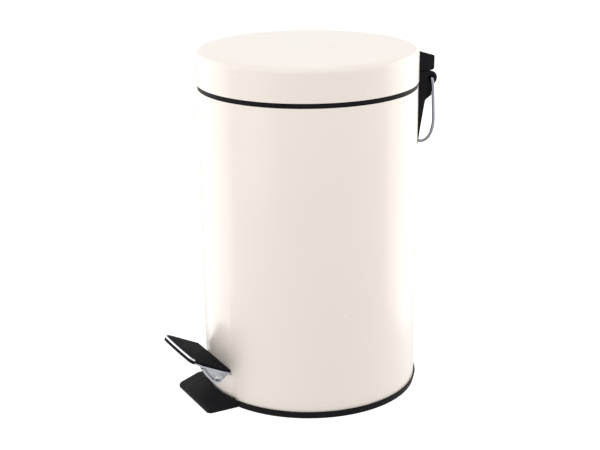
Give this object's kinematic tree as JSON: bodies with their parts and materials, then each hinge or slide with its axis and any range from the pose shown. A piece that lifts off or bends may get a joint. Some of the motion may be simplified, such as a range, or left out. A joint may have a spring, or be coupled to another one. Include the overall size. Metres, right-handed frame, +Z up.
{
  "type": "pedal trash can",
  "caption": "Round pedal bin: cream enamelled steel body and hinged lid, black base with a foot, pedal lever with lift rod, inner bucket and a wire carry ring behind.",
  "frame": {"origin": "centre of the bounding box on the floor, with the body's own axis 7.5 mm behind it", "axes": "+Z up, -Y towards the pedal, +Y towards the lid's hinge, +X to the right seen from the pedal looking back"},
  "size_m": [0.1704, 0.2184, 0.267],
  "materials": {
    "cream_enamel": "glossy warm cream enamel over sheet steel",
    "black_plastic": "satin black moulded plastic with a fine grain",
    "tread_rubber": "black rubber with small raised pips",
    "bright_steel": "bright plated sheet steel",
    "plain_steel": "plain zinc-plated steel",
    "white_nylon": "natural white nylon",
    "chrome_wire": "bright chrome-plated wire",
    "bucket_plastic": "dark grey moulded plastic"
  },
  "bodies": {
    "shell": {"body_shell": "cream_enamel", "top_ring": "black_plastic", "base_ring": "black_plastic", "bottom_pan": "plain_steel", "hinge_housing": "black_plastic", "housing_screw_left": "plain_steel", "housing_screw_right": "plain_steel", "hinge_pin": "plain_steel", "rod_guide": "white_nylon", "pivot_bracket": "plain_steel", "bracket_rivet_left": "plain_steel", "bracket_rivet_right": "plain_steel", "pivot_pin": "plain_steel", "pivot_clip": "plain_steel"},
    "lid": {"lid_shell": "cream_enamel", "lid_liner": "black_plastic", "lid_hinge_cap": "black_plastic", "lid_bracket": "plain_steel", "lid_rivet_left": "plain_steel", "lid_rivet_right": "plain_steel"},
    "pedal": {"pedal_lever": "bright_steel", "pedal_tread": "tread_rubber", "tread_trim": "bright_steel"},
    "rod": {"lift_rod": "plain_steel", "rod_shoe": "white_nylon"},
    "ring": {"carry_ring": "chrome_wire"},
    "bucket": {"inner_bucket": "bucket_plastic"},
    "bail": {"bucket_bail": "plain_steel"}
  },
  "joints": [
    {"name": "pedal_press", "type": "hinge", "parent": "shell", "child": "pedal", "pos_m": [0, -0.03747, 0.017], "axis": [1, 0, 0], "range_deg": [0, 12.8]},
    {"name": "lid_open", "type": "hinge", "parent": "shell", "child": "lid", "pos_m": [0, 0.10363, 0.2376], "axis": [-1, 0, 0], "range_deg": [0, 78]},
    {"name": "rod_lift", "type": "slide", "parent": "shell", "child": "rod", "axis": [0, 0, 1], "range_m": [0, 0.02802]},
    {"name": "ring_swing", "type": "hinge", "parent": "shell", "child": "ring", "pos_m": [0, 0.10363, 0.2376], "axis": [1, 0, 0], "range_deg": [0, 115]},
    {"name": "bucket_lift", "type": "slide", "parent": "shell", "child": "bucket", "axis": [0, 0, 1], "range_m": [0, 0.012]},
    {"name": "bail_swing", "type": "hinge", "parent": "bucket", "child": "bail", "pos_m": [0, 0.00753, 0.219], "axis": [-1, 0, 0], "range_deg": [0, 28]}
  ],
  "couplings": [
    {"joint": "lid_open", "follows": "pedal_press", "ratio": 6.093},
    {"joint": "rod_lift", "follows": "pedal_press", "m_per_rad": 0.12542}
  ]
}
